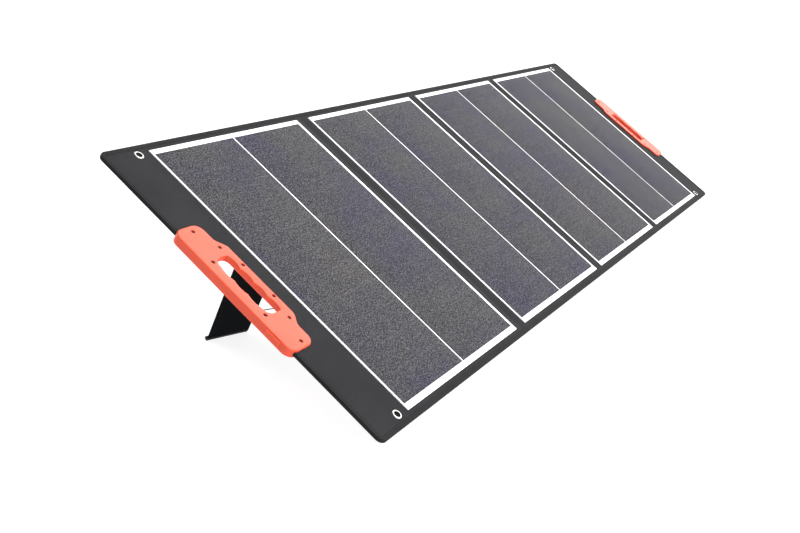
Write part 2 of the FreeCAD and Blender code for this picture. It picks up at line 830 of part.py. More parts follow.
def output_socket(place):
    """Round output socket with a flange, a blind bore and a neck that enters the housing."""
    radius = size("socket_radius")
    neck = radius - size("socket_step") - ROD_CLEAR
    bore = size("socket_bore")
    flange = size("socket_flange")
    length = size("socket_length")
    outline = [
        (bore, -flange),
        (radius, -flange),
        (radius, 0),
        (neck, 0),
        (neck, length - flange),
        (0, length - flange),
        (0, length - 2 * flange),
        (bore, length - 2 * flange),
    ]
    corners = [Vector(across, 0, height) for across, height in outline]
    profile = Part.makePolygon(corners + corners[:1])
    socket = doc.addObject("Part::Feature", "OutputSocket")
    socket.Shape = Part.Face(profile).revolve(Vector(0, 0, 0), Vector(0, 0, 1), 360)
    socket.Placement = place
    finish(socket, "output_socket")


def junction_box():
    """Box behind the last panel with a screwed lid and an output socket on its lower end."""
    centre_x = MODULE_EDGE - size("box_offset")
    low_x = centre_x - size("box_length") / 2
    low_y = size("box_height") - size("box_width") / 2
    wall = size("box_wall")
    depth = size("box_depth")
    block = make_box("BoxBlock", ("box_length", "box_width", "box_depth"), (low_x, low_y, -depth))
    room = make_box(
        "BoxRoom",
        ("box_length - 2 * box_wall", "box_width - 2 * box_wall", "box_depth"),
        (low_x + wall, low_y + wall, -depth - wall),
    )
    posts, holes, screws = box_fixings(centre_x)
    down = Rotation(Vector(0, 0, 1), Vector(0, -1, 0))
    mouth_place = STANDING.multiply(Placement(Vector(centre_x, low_y + 2 * wall, -depth / 2), down))
    mouth = rod("SocketMouth", "socket_radius - socket_step", "4 * box_wall", mouth_place)
    housing = doc.addObject("Part::MultiFuse", "BoxHousing")
    housing.Shapes = [make_cut("BoxPierced", make_cut("BoxShell", block, room), mouth)] + posts
    finish(housing, "junction_box_housing")
    lid_low = (low_x, low_y, -depth - size("lid_depth"))
    lid_plate = make_box("LidPlate", ("box_length", "box_width", "lid_depth"), lid_low)
    finish(make_cut("Lid", lid_plate, make_group("LidHoles", holes)), "junction_box_lid")
    finish(make_group("BoxScrews", screws), "junction_box_screws")
    up = Rotation(Vector(0, 0, 1), Vector(0, 1, 0))
    output_socket(STANDING.multiply(Placement(Vector(centre_x, low_y, -depth / 2), up)))


# ---------------------------------------------------------------- assembly
for number in range(4):
    module_pieces(number)
    edge_tape(number)
for number in (1, 2):
    middle_layers(number)
for panel, where, seam_place, hand in (
    ("panel_1", -1, seams[0], "left"),
    ("panel_4", 1, seams[2], "right"),
):
    end_layers(panel, where, seam_place)
    handle_shells(where, hand)
    handle_screws(where, hand)
    handle_latch(where, hand)
    eyelets(where, hand)
    leg_pieces(where, hand)
    stay_pieces(where, hand)
junction_box()
doc.recompute()

for item in doc.Objects:
    if "Invalid" in item.State or "Error" in item.State:
        raise ValueError("%s did not build: %s" % (item.Name, item.State))
os.makedirs("parts", exist_ok=True)
whole = FreeCAD.BoundBox()
for label, piece in sorted(pieces.items()):
    if piece.Shape.isNull() or not piece.Shape.isValid():
        raise ValueError("%s has no valid shape" % label)
    piece.Shape.exportStep("parts/%s.step" % label)
    whole.add(piece.Shape.BoundBox)
print("%d pieces, %.1f x %.1f x %.1f mm" % (len(pieces), whole.XLength, whole.YLength, whole.ZLength))


def report(name, point, direction):
    metres = [round(value / 1000, 6) for value in point]
    line = [round(value, 6) for value in direction]
    print("%s at %s along %s" % (name, metres, line))


up_panel = STANDING.Rotation.multVec(Vector(0, 1, 0))
front_out = STANDING.Rotation.multVec(Vector(0, 0, 1))
for n, drop in ((0, FRONT + FOLD_RISE), (1, -BACK_FOLD_DROP), (2, FRONT + FOLD_RISE)):
    report("fold %d" % (n + 1), STANDING.multVec(Vector(seams[n], MIDDLE, drop)), up_panel)
for where, hand in ((-1, "left"), (1, "right")):
    hinge_point, hinge_line = leg_axis(where)
    report("leg " + hand, STANDING.multVec(hinge_point), STANDING.Rotation.multVec(hinge_line))
    for n, (x, y) in enumerate(eyelet_centres(where)):
        report("eyelet %s %d" % (hand, n), STANDING.multVec(Vector(x, y, SPLIT)), front_out)
    slot_x = where * (MODULE_EDGE + (size("slot_inner") + size("slot_outer")) / 2)
    report("slot " + hand, STANDING.multVec(Vector(slot_x, MIDDLE, SPLIT)), front_out)
    on_leg, on_back = stay_ends(where)
    report("cord " + hand, on_leg, on_back - on_leg)
socket_x = MODULE_EDGE - size("box_offset")
socket_y = size("box_height") - size("box_width") / 2
report("socket", STANDING.multVec(Vector(socket_x, socket_y, -size("box_depth") / 2)), -up_panel)
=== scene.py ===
import json
import math

import bmesh
import bpy
import numpy as np
from mathutils import Matrix, Vector


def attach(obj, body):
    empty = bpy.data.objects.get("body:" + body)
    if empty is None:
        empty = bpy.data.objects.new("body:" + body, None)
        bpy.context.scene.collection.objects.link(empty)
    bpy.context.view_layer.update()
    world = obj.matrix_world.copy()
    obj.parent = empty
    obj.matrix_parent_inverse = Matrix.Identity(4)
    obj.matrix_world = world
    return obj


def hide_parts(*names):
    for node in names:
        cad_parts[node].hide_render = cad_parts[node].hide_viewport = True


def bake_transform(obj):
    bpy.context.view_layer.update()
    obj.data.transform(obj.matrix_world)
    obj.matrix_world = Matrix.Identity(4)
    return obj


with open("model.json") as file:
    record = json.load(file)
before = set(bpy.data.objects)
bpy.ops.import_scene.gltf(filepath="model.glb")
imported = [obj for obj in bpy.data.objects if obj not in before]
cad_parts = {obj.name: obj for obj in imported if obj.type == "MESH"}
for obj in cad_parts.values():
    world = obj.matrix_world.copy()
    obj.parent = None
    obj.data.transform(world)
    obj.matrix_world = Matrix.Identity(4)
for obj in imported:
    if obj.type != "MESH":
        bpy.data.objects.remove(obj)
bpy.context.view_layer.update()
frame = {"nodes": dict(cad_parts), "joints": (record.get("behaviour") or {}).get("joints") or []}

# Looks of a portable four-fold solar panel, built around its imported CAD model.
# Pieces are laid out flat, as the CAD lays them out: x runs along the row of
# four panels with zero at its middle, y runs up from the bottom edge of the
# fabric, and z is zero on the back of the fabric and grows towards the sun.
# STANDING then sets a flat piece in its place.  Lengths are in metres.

# ---- layout read from the frame
joints = {joint["name"]: joint for joint in frame["joints"]}
UP = Vector(joints["fold_middle"]["axis"]).normalized()
ALONG = Vector((1.0, 0.0, 0.0))
OUT = ALONG.cross(UP)
AXES = np.array([ALONG, UP, OUT])


def world_points(node):
    mesh = frame["nodes"][node].data
    points = np.empty(len(mesh.vertices) * 3, np.float32)
    mesh.vertices.foreach_get("co", points)
    return points.reshape(-1, 3).astype(float)


lowest = (world_points("panel_2_back_fabric") @ AXES.T).min(0)
ORIGIN = Vector((0.0, lowest[1], lowest[2]))
STANDING = (
    Matrix.Translation(UP * ORIGIN.y + OUT * ORIGIN.z)
    @ Matrix((ALONG, UP, OUT)).transposed().to_4x4()
)


def layout_box(node):
    """Lowest and highest corner of a CAD node in the flat layout."""
    points = world_points(node) @ AXES.T - np.array(ORIGIN)
    return Vector(points.min(0)), Vector(points.max(0))


def in_layout(point):
    return STANDING.inverted() @ Vector(point)


CLOTH = layout_box("panel_2_back_fabric")[1].z
FRONT_LOW = layout_box("panel_2_front_fabric")[0].z
CLOTH_TOP = layout_box("panel_2_front_fabric")[1].z
FILM_TOP = layout_box("panel_2_front_film")[1].z
HEIGHT = layout_box("panel_2_front_fabric")[1].y
END = layout_box("panel_4_front_fabric")[1].x
PANELS = [f"panel_{number}" for number in (1, 2, 3, 4)]
MODULES = [layout_box(panel + "_backsheet") for panel in PANELS]
CELLS = [layout_box(panel + "_cell_strings") for panel in PANELS]
BOARDS = [layout_box(panel + "_board") for panel in PANELS]
MIDDLE = HEIGHT / 2
SPLIT = CLOTH_TOP / 2
MODULE_EDGE = MODULES[3][1].x
SIDES = ((-1, "left", "panel_1"), (1, "right", "panel_4"))
FOLDS = (
    ("fold_left", "panel_2", "panel_1", 0),
    ("fold_middle", "panel_2", "panel_3", 1),
    ("fold_right", "panel_3", "panel_4", 2),
)

# sizes that the frame doesn't give, as the CAD has them
STRING_GAP = 0.002
CORNER_RADIUS = 0.010
TAPE = 0.0006
TAPE_WRAP = 0.007
HANDLE_REACH = 0.0878
HANDLE_HALF = 0.107
LOBE_INNER = 0.0408
WAIST_INNER = 0.0405
WAIST_HALF = 0.076
BULGE_INNER = 0.0294
BULGE_HALF = 0.062
SLOT_INNER = 0.0446
SLOT_OUTER = 0.0688
SLOT_HALF = 0.049
SLOT_CORNER = 0.011
GRIP_PITCH = 0.0245
INNER_GRIP = 0.0028
OUTER_GRIP = 0.002
REAR_SLOT_INNER = 0.0383
REAR_SLOT_OUTER = 0.0712
REAR_SLOT_HALF = 0.051
REAR_SLOT_CORNER = 0.009
NOTCH_INNER = 0.0315
NOTCH_HALF = 0.054
NOTCH_CORNER = 0.003
SHELL_FRONT = 0.004
SHELL_REAR = 0.0044
SHELL_CLEARANCE = 0.0002
EYELET_INSET = 0.022
EYELET_DROP = 0.004
EYELET_HOLE = 0.004
EYELET_BARREL = 0.0046
EYELET_FLANGE = 0.0069
EYELET_RISE = 0.0011
SCREW_RADIUS = 0.0015
SCREW_HEAD = 0.0026
SCREW_HEAD_HEIGHT = 0.001
SCREW_BORE_FLOOR = 0.0006
SCREW_TIP_ROOM = 0.0002
EDGE_MARGIN = MODULES[0][0].y

# soft edges of the handle's shells, and the fine line where the shells meet
FRONT_EDGE = 0.0018
REAR_EDGE = 0.0009
SLOT_EDGE = 0.0011
REAR_SLOT_EDGE = 0.0024
SHELL_SEAM = 0.00018

# small shapes and rooms
SHARP = 38.0
TINY = 1e-6
HOLE_ROOM = 0.0001
OVERCUT = 0.001
TAPE_NOSE = 0.0002
STITCH_PITCH = 0.0042
STITCH_LENGTH = 0.0031
STITCH_RADIUS = 0.00022
TAPE_STITCH_INSET = 0.0018
CELL_ROW = 0.0418
FILM_ROLL = 0.0006
FILM_LEDGE = 0.0005
FILM_SINK = 0.00018
STAY_RADIUS = 0.00075
LEG_STITCH_INSET = 0.0035
LEG_BINDING = 0.0006
FOOT_CORNER = 0.0008
FOOT_EDGE = 0.0009


# ---- outlines
def rounded(corners, steps=7):
    """Closed run of points, counter-clockwise, round a polygon given as (x, y, corner radius)."""
    points = []
    for i, (x, y, radius) in enumerate(corners):
        here = Vector((x, y))
        if not radius:
            points.append(here)
            continue
        before = (Vector(corners[i - 1][:2]) - here).normalized()
        after = (Vector(corners[(i + 1) % len(corners)][:2]) - here).normalized()
        half = before.angle(after) / 2
        centre = here + (before + after).normalized() * (radius / math.sin(half))
        start = here + before * (radius / math.tan(half)) - centre
        stop = here + after * (radius / math.tan(half)) - centre
        first = math.atan2(start.y, start.x)
        turn = math.atan2(stop.y, stop.x) - first
        turn = (turn + math.pi) % (2 * math.pi) - math.pi
        for step in range(steps + 1):
            angle = first + turn * step / steps
            points.append(centre + Vector((math.cos(angle), math.sin(angle))) * radius)
    return points if area(points) > 0 else points[::-1]


def area(points):
    return sum(a.cross(b) for a, b in zip(points, points[1:] + points[:1])) / 2


def circle(x, y, radius, steps=24):
    turn = 2 * math.pi / steps
    return [
        Vector((x + radius * math.cos(turn * i), y + radius * math.sin(turn * i)))
        for i in range(steps)
    ]


def moved_in(points, distance):
    """A counter-clockwise run of points moved inwards by a distance."""
    moved = []
    for i, point in enumerate(points):
        before = (point - points[i - 1]).normalized()
        after = (points[(i + 1) % len(points)] - point).normalized()
        first = Vector((-before.y, before.x))
        second = Vector((-after.y, after.x))
        moved.append(point + (first + second) / max(1 + first.dot(second), 0.35) * distance)
    return moved


def side_steps(path):
    """The mitred step to the left, one unit wide, at each point of an open path."""
    steps = []
    for i, point in enumerate(path):
        before = (point - path[i - 1]).normalized() if i else (path[1] - point).normalized()
        after = (path[i + 1] - point).normalized() if i + 1 < len(path) else before
        first = Vector((-before.y, before.x))
        second = Vector((-after.y, after.x))
        steps.append((first + second) / (1 + first.dot(second)))
    return steps


def shifted(path, distance):
    """An open path moved to its left."""
    return [point + step * distance for point, step in zip(path, side_steps(path))]


def soft_edge(low, high, low_radius, high_radius, steps=4):
    """(distance inwards, height) pairs up the side of a plate with rounded edges."""
    profile = []
    for step in range(steps + 1 if low_radius else 1):
        angle = math.pi / 2 * step / steps
        rise = low_radius * (1 - math.cos(angle))
        profile.append((low_radius * (1 - math.sin(angle)), low + rise))
    for step in range(steps + 1 if high_radius else 1):
        angle = math.pi / 2 * step / steps
        drop = high_radius * (1 - math.sin(angle))
        profile.append((high_radius * (1 - math.cos(angle)), high - drop))
    return profile


# ---- mesh builders
def bridge(bm, low, high):
    for i in range(len(low)):
        j = (i + 1) % len(low)
        bm.faces.new((low[i], low[j], high[j], high[i]))


def cap(bm, rings):
    """Fills the flat face between an outline and its holes."""
    edges = [bm.edges.get((run[i - 1], run[i])) for run in rings for i in range(len(run))]
    bmesh.ops.triangle_fill(bm, edges=edges, use_beauty=True)


def plate(outer, profile, holes=()):
    """Closed plate; each hole is a run of points with its own (growth, height) pairs."""
    bm = bmesh.new()
    lows = []
    highs = []
    for points, steps, sign in [(outer, profile, 1), *((run, rise, -1) for run, rise in holes)]:
        rings = []
        for distance, height in steps:
            run = moved_in(points, sign * distance)
            rings.append([bm.verts.new((point.x, point.y, height)) for point in run])
        for low, high in zip(rings, rings[1:]):
            bridge(bm, low, high)
        lows.append(rings[0])
        highs.append(rings[-1])
    cap(bm, lows)
    cap(bm, highs)
    return bm


def lattice(xs, ys, low, high):
    """Closed slab on a grid whose two faces are given as heights over x and y."""
    bm = bmesh.new()
    bottom, top = (
        [[bm.verts.new((x, y, height(x, y))) for y in ys] for x in xs] for height in (low, high)
    )
    for i in range(len(xs) - 1):
        for j in range(len(ys) - 1):
            bm.faces.new((top[i][j], top[i + 1][j], top[i + 1][j + 1], top[i][j + 1]))
            bm.faces.new((bottom[i][j], bottom[i][j + 1], bottom[i + 1][j + 1], bottom[i + 1][j]))
    rim_low = [row[0] for row in bottom] + bottom[-1][1:] + [row[-1] for row in bottom[-2::-1]]
    rim_high = [row[0] for row in top] + top[-1][1:] + [row[-1] for row in top[-2::-1]]
    bridge(bm, rim_low + bottom[0][-2:0:-1], rim_high + top[0][-2:0:-1])
    return bm


def lathe(bm, x, y, profile, steps=40, shape=lambda radius, angle: radius):
    """Closed ring turned from a closed run of (radius, height) pairs."""
    rings = []
    for radius, height in profile:
        ring = []
        for step in range(steps):
            angle = 2 * math.pi * step / steps
            reach = shape(radius, angle)
            spot = (x + reach * math.cos(angle), y + reach * math.sin(angle), height)
            ring.append(bm.verts.new(spot))
        rings.append(ring)
    for i in range(len(rings)):
        bridge(bm, rings[i - 1], rings[i])


def sweep(bm, path, profile, layer):
    """Closed profile of (distance inwards, height) pairs drawn along an open path of points."""
    rings = []
    for point, inwards in zip(path, side_steps(path)):
        spots = [(*(point + inwards * distance), height) for distance, height in profile]
        rings.append([bm.verts.new(spot) for spot in spots])
    lengths = [0.0]
    for a, b in zip(path, path[1:]):
        lengths.append(lengths[-1] + (b - a).length)
    around = [0.0]
    for a, b in zip(profile, profile[1:] + profile[:1]):
        around.append(around[-1] + math.dist(a, b))
    for i in range(len(rings) - 1):
        for j in range(len(profile)):
            k = (j + 1) % len(profile)
            face = bm.faces.new((rings[i][j], rings[i][k], rings[i + 1][k], rings[i + 1][j]))
            spots = ((i, j), (i, j + 1), (i + 1, j + 1), (i + 1, j))
            for loop, (a, b) in zip(face.loops, spots):
                loop[layer].uv = (lengths[a], around[b])
    for ring in (rings[0], rings[-1]):
        bm.faces.new(ring)


def stitches(bm, path, height, outward=1):
    """A run of thread stitches that stand a little proud of the cloth, along an open path."""
    walked = STITCH_PITCH / 2
    for start, stop in zip(path, path[1:]):
        span = (stop - start).length
        along = (stop - start).normalized()
        across = Vector((-along.y, along.x))
        while walked < span:
            centre = start + along * walked
            rings = []
            for place, share in ((-0.5, 0.35), (-0.3, 1.0), (0.3, 1.0), (0.5, 0.35)):
                spot = centre + along * (STITCH_LENGTH * place)
                ring = []
                for side in range(6):
                    angle = math.pi / 3 * side
                    wide = spot + across * (STITCH_RADIUS * 1.2 * share * math.cos(angle))
                    rise = outward * STITCH_RADIUS * share * (math.sin(angle) + 0.4)
                    ring.append(bm.verts.new((wide.x, wide.y, height + rise)))
                rings.append(ring)
            before = len(bm.faces)
            for low, high in zip(rings, rings[1:]):
                bridge(bm, low, high)
            bm.faces.new(rings[0])
            bm.faces.new(rings[-1])
            bm.faces.ensure_lookup_table()
            for face in bm.faces[before:]:
                face.material_index = 1
            walked += STITCH_PITCH
        walked -= span


def project(bm):
    """Texture coordinates in metres, from the flat layout along each face's main direction."""
    layer = bm.loops.layers.uv.verify()
    for face in bm.faces:
        normal = [abs(value) for value in face.normal]
        if normal[2] >= max(normal[0], normal[1]):
            pick = (0, 1)
        elif normal[0] > normal[1]:
            pick = (1, 2)
        else:
            pick = (0, 2)
        for loop in face.loops:
            place = loop.vert.co
            loop[layer].uv = (place[pick[0]], place[pick[1]])


def build(bm, name, finishes, place=STANDING, mapped=False, bend=None, angle=SHARP, choose=None):
    """Turns a flat mesh into an object set in its place."""
    bmesh.ops.recalc_face_normals(bm, faces=bm.faces)
    if not mapped:
        project(bm)
    if choose:
        for face in bm.faces:
            face.material_index = choose(face.calc_center_median(), face.normal)
    if bend:
        for vert in bm.verts:
            vert.co = bend(vert.co)
    bm.transform(place)
    mesh = bpy.data.meshes.new(name)
    bm.to_mesh(mesh)
    bm.free()
    for finish in finishes:
        mesh.materials.append(finish)
    mesh.polygons.foreach_set("use_smooth", [True] * len(mesh.polygons))
    mesh.set_sharp_from_angle(angle=math.radians(angle))
    piece = bpy.data.objects.new(name, mesh)
    bpy.context.scene.collection.objects.link(piece)
    return piece


def carve(piece, tool):
    """Cuts one piece out of another and keeps the result as its mesh."""
    cut = piece.modifiers.new("cut", "BOOLEAN")
    cut.operation = "DIFFERENCE"
    cut.solver = "EXACT"
    cut.object = tool
    bpy.context.view_layer.update()
    whole = piece.evaluated_get(bpy.context.evaluated_depsgraph_get())
    mesh = bpy.data.meshes.new_from_object(whole)
    piece.modifiers.clear()
    old = piece.data
    piece.data = mesh
    bpy.data.meshes.remove(old)
    tool_mesh = tool.data
    bpy.data.objects.remove(tool)
    bpy.data.meshes.remove(tool_mesh)
    mesh.name = piece.name
    mesh.set_sharp_from_angle(angle=math.radians(SHARP))
    return piece


def settle(piece, body, slot, *nodes):
    """The piece rides on a body and stands for CAD nodes, which it hides; the slot is not used."""
    if body:
        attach(piece, body)
    if nodes:
        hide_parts(*nodes)
    return piece


# ---- materials
class Look:
    """A node material with short ways to add nodes and join them."""

    def __init__(self, name, **values):
        self.material = bpy.data.materials.new(name)
        self.material.use_nodes = True
        self.tree = self.material.node_tree
        self.shader = next(node for node in self.tree.nodes if node.type == "BSDF_PRINCIPLED")
        for socket, value in values.items():
            self.shader.inputs[socket.replace("_", " ")].default_value = value
        self.coordinates = self.tree.nodes.new("ShaderNodeTexCoord")

    def add(self, kind, *links, **values):
        node = self.tree.nodes.new("ShaderNode" + kind)
        for name, value in values.items():
            if hasattr(node, name):
                setattr(node, name, value)
            else:
                node.inputs[name.replace("_", " ")].default_value = value
        for source, socket in links:
            self.tree.links.new(source, node.inputs[socket])
        return node

    def math(self, operation, first, second=None):
        node = self.add("Math", operation=operation)
        for socket, value in zip(node.inputs, (first, second)):
            if value is None:
                continue
            if isinstance(value, (int, float)):
                socket.default_value = value
            else:
                self.tree.links.new(value, socket)
        return node.outputs[0]

    def noise(self, scale, detail=3.0, rough=0.55):
        source = (self.coordinates.outputs["Object"], "Vector")
        node = self.add("TexNoise", source, Scale=scale, Detail=detail, Roughness=rough)
        return node.outputs["Fac"]

    def ramp(self, source, stops):
        node = self.add("ValToRGB", (source, "Fac"))
        elements = node.color_ramp.elements
        while len(elements) < len(stops):
            elements.new(0.5)
        for element, (place, colour) in zip(elements, stops):
            element.position = place
            element.color = (*colour, 1.0)
        return node.outputs["Color"]

    def mix(self, kind, factor, first, second):
        node = self.add("MixRGB", blend_type=kind)
        for socket, value in zip(node.inputs, (factor, first, second)):
            if isinstance(value, (int, float)):
                socket.default_value = value
            elif isinstance(value, tuple):
                socket.default_value = (*value, 1.0)
            else:
                self.tree.links.new(value, socket)
        return node.outputs["Color"]

    def weave(self, pitch):
        """Over and under of a plain weave, from the flat texture coordinates, between 0 and 1."""
        split = self.add("SeparateXYZ", (self.coordinates.outputs["UV"], "Vector"))
        waves = []
        for axis in (0, 1):
            turned = self.math("MULTIPLY", split.outputs[axis], 2 * math.pi / pitch)
            waves.append(self.math("SINE", turned))
        crossing = self.math("MULTIPLY", waves[0], waves[1])
        return self.math("ADD", self.math("MULTIPLY", crossing, 0.5), 0.5)

    def colour(self, source):
        self.tree.links.new(source, self.shader.inputs["Base Color"])

    def rough(self, source, low, high):
        node = self.add("MapRange", (source, "Value"))
        node.inputs["To Min"].default_value = low
        node.inputs["To Max"].default_value = high
        self.tree.links.new(node.outputs["Result"], self.shader.inputs["Roughness"])

    def bump(self, *layers):
        """Bump layers given as (height, depth in metres, strength), coarse ones first."""
        normal = None
        for source, depth, strength in layers:
            node = self.add("Bump", (source, "Height"), Strength=strength, Distance=depth)
            if normal:
                self.tree.links.new(normal, node.inputs["Normal"])
            normal = node.outputs["Normal"]
        self.tree.links.new(normal, self.shader.inputs["Normal"])


def cloth_look(name, dark, light, pitch, sheen, rough, gloss=0.1):
    """Woven cloth: threads over and under, uneven dye, a soft sheen."""
    look = Look(name, Sheen_Weight=sheen, Sheen_Roughness=0.45, Specular_IOR_Level=gloss)
    weave = look.weave(pitch)
    shade = look.ramp(weave, [(0.15, dark), (0.85, light)])
    drift = look.ramp(
        look.noise(14.0, 4.0), [(0.35, (0.86, 0.86, 0.87)), (0.68, (1.1, 1.1, 1.09))]
    )
    speck = look.ramp(
        look.noise(1400.0, 2.0), [(0.4, (0.9, 0.9, 0.9)), (0.62, (1.08, 1.08, 1.08))]
    )
    look.colour(look.mix("MULTIPLY", 1.0, look.mix("MULTIPLY", 1.0, shade, drift), speck))
    look.rough(look.noise(260.0), rough - 0.08, rough + 0.1)
    look.bump((look.noise(55.0, 3.0), 0.0006, 0.25), (weave, 0.00012, 0.6))
    return look.material


def plastic_look(name, base, light, grain, rough, coat, gloss=0.5):
    """Moulded plastic with a fine spark-eroded grain and slightly uneven colour."""
    look = Look(name, Coat_Weight=coat, Coat_Roughness=0.35, Specular_IOR_Level=gloss)
    look.colour(look.ramp(look.noise(24.0, 5.0), [(0.36, base), (0.66, light)]))
    look.rough(look.noise(420.0, 2.0), rough - 0.07, rough + 0.08)
    look.bump((look.noise(grain, 2.0), 0.00006, 0.35), (look.noise(90.0, 2.0), 0.0002, 0.08))
    return look.material


def metal_look(name, base, rough, scratch):
    """Bare metal with fine scratches and slightly duller spots."""
    look = Look(name, Metallic=1.0, Specular_IOR_Level=0.5)
    tint = tuple(0.82 * value for value in base)
    look.colour(look.ramp(look.noise(700.0, 4.0), [(0.35, tint), (0.6, base)]))
    look.rough(look.noise(900.0, 3.0), rough - 0.06, rough + 0.1)
    look.bump((look.noise(scratch, 2.0), 0.00004, 0.2))
    return look.material


def film_weave(look):
    """Height of the dimpled surface that the laminate takes from its press cloth."""
    grain = look.noise(900.0, 2.0, 0.6)
    return look.math("ADD", look.math("MULTIPLY", look.weave(0.0013), 0.55), grain)


def cells_look():
    """Dark cells under the dimpled film; the light that the film's dimples scatter is painted into
    the colour as fine bright specks.
    """
    look = Look("cells_under_film", Specular_IOR_Level=0.04)
    # painted glints: the film's scattered light, as fine bright specks in the base colour
    painted_glints = look.ramp(
        look.noise(600.0, 2.0, 0.7),
        [
            (0.38, (0.016, 0.0155, 0.02)),
            (0.5, (0.037, 0.036, 0.042)),
            (0.62, (0.12, 0.118, 0.127)),
        ],
    )
    hue = look.ramp(
        look.noise(9.0, 3.0),
        [(0.34, (0.9, 0.88, 1.06)), (0.52, (1.0, 1.0, 1.0)), (0.7, (1.1, 1.08, 0.98))],
    )
    split = look.add("SeparateXYZ", (look.coordinates.outputs["UV"], "Vector"))
    rows = look.math("FRACT", look.math("MULTIPLY", split.outputs[1], 1 / CELL_ROW))
    from_line = look.math("ABSOLUTE", look.math("SUBTRACT", rows, 0.5))
    line = look.math("LESS_THAN", from_line, 0.008)
    tone = look.mix("MULTIPLY", 1.0, painted_glints, hue)
    look.colour(look.mix("MIX", look.math("MULTIPLY", line, 0.1), tone, (0.3, 0.3, 0.32)))
    look.rough(look.noise(700.0, 2.0), 0.55, 0.72)
    look.bump((film_weave(look), 0.00012, 0.55))
    return look.material


def border_look():
    """White backing sheet seen through the same film."""
    look = Look("white_border_under_film", Coat_Weight=0.2, Coat_Roughness=0.3)
    white = look.ramp(
        look.noise(30.0, 3.0), [(0.3, (0.86, 0.865, 0.88)), (0.7, (0.93, 0.93, 0.935))]
    )
    look.colour(white)
    look.rough(look.noise(700.0, 2.0), 0.4, 0.55)
    look.bump((film_weave(look), 0.0001, 0.3))
    return look.material


fabric = cloth_look(
    "charcoal_fabric", (0.0125, 0.0127, 0.0138), (0.0255, 0.0258, 0.028), 0.0009, 0.02, 0.8
)
tape_cloth = cloth_look(
    "black_binding", (0.009, 0.009, 0.0095), (0.0215, 0.0215, 0.023), 0.0012, 0.02, 0.8
)
leg_cloth = cloth_look(
    "black_leg_fabric", (0.003, 0.0034, 0.004), (0.007, 0.0078, 0.0092), 0.0009, 0.0, 0.85, 0.02
)
thread = cloth_look("black_thread", (0.008, 0.008, 0.0085), (0.02, 0.02, 0.0215), 0.0005, 0.05, 0.7)
cord_cloth = cloth_look(
    "black_cord", (0.006, 0.006, 0.007), (0.02, 0.02, 0.022), 0.0007, 0.15, 0.65
)
cells = cells_look()
border = border_look()
orange = plastic_look(
    "orange_moulded", (0.68, 0.07, 0.027), (0.72, 0.078, 0.031), 1800.0, 0.45, 0.05, 0.34
)
black_plastic = plastic_look(
    "black_moulded", (0.012, 0.012, 0.013), (0.022, 0.022, 0.024), 1500.0, 0.5, 0.05
)
rubber = plastic_look("foot_rubber", (0.01, 0.01, 0.011), (0.02, 0.02, 0.021), 900.0, 0.62, 0.0)
board_core = plastic_look("board_core", (0.2, 0.19, 0.17), (0.28, 0.27, 0.24), 500.0, 0.8, 0.0)
nickel = metal_look("nickel_plate", (0.56, 0.555, 0.54), 0.3, 800.0)
# near-black metal: painted shade for the inside of the eyelet barrels
shaded_barrel_metal = metal_look("painted_shade_barrel", (0.05, 0.05, 0.05), 0.5, 900.0)
steel = metal_look("screw_steel_dark", (0.09, 0.07, 0.06), 0.5, 1500.0)


def dress(node, look, bevel=0.0, segments=3):
    """A CAD node keeps its mesh and gets a material, and softened edges where asked."""
    piece = frame["nodes"][node]
    if not piece.material_slots:
        piece.data.materials.append(look)
    for slot in piece.material_slots:
        slot.link = "OBJECT"
        slot.material = look
    if bevel:
        weld = piece.modifiers.new("weld", "WELD")
        weld.merge_threshold = 1e-5
        edge = piece.modifiers.new("edge", "BEVEL")
        edge.width = bevel
        edge.segments = segments
        edge.limit_method = "ANGLE"
        edge.angle_limit = math.radians(40)
        edge.harden_normals = True
    return piece


# ---- modules
def lines(*stops):
    """Places from the first stop to the last, each stop given as (place, parts after it)."""
    places = []
    for (place, parts), (following, _) in zip(stops, stops[1:]):
        places += [place + (following - place) * part / parts for part in range(parts)]
    return places + [stops[-1][0]]


def make_module(index):
    """Laminate of one module: white border, two strings of cells and the line between them."""
    panel = PANELS[index]
    low, high = MODULES[index]
    cell_low, cell_high = CELLS[index]
    centre = (cell_low.x + cell_high.x) / 2
    half_gap = STRING_GAP / 2

    def cuts(start, stop, inner_start, inner_stop, middle=None):
        """Grid places along one direction, close together where the film changes height."""
        places = [start, start + FILM_ROLL / 3, start + FILM_ROLL]
        places += [inner_start - FILM_LEDGE, inner_start]
        if middle:
            places += [middle - half_gap, middle - half_gap + FILM_LEDGE]
            places += [middle + half_gap - FILM_LEDGE, middle + half_gap]
        places += [inner_stop, inner_stop + FILM_LEDGE]
        return places + [stop - FILM_ROLL, stop - FILM_ROLL / 3, stop]

    def over_cells(x, y):
        across = cell_low.x - TINY < x < cell_high.x + TINY
        upright = cell_low.y - TINY < y < cell_high.y + TINY
        return across and upright and abs(x - centre) > half_gap - TINY

    def top(x, y):
        edge = min(x - low.x, high.x - x, y - low.y, high.y - y)
        rounding = FILM_ROLL * (1 - min(1.0, edge / FILM_ROLL)) ** 2
        return FILM_TOP - rounding - (0.0 if over_cells(x, y) else FILM_SINK)

    xs = cuts(low.x, high.x, cell_low.x, cell_high.x, centre)
    ys = cuts(low.y, high.y, cell_low.y, cell_high.y)
    bm = lattice(xs, ys, lambda x, y: CLOTH_TOP, top)

    def choose(place, normal):
        return 1 if normal.z > 0.9 and over_cells(place.x, place.y) else 0

    piece = build(bm, f"module_{index + 1}_laminate", [border, cells], choose=choose, angle=60)
    layers = [panel + layer for layer in ("_front_film", "_cell_strings", "_backsheet")]
    settle(piece, panel, "film", *layers)


# ---- cloths and tapes of the panels
def eyelet_centres(side):
    x = side * (MODULE_EDGE + EYELET_INSET)
    low = EDGE_MARGIN + EYELET_DROP
    return [(x, low), (x, HEIGHT - low)]


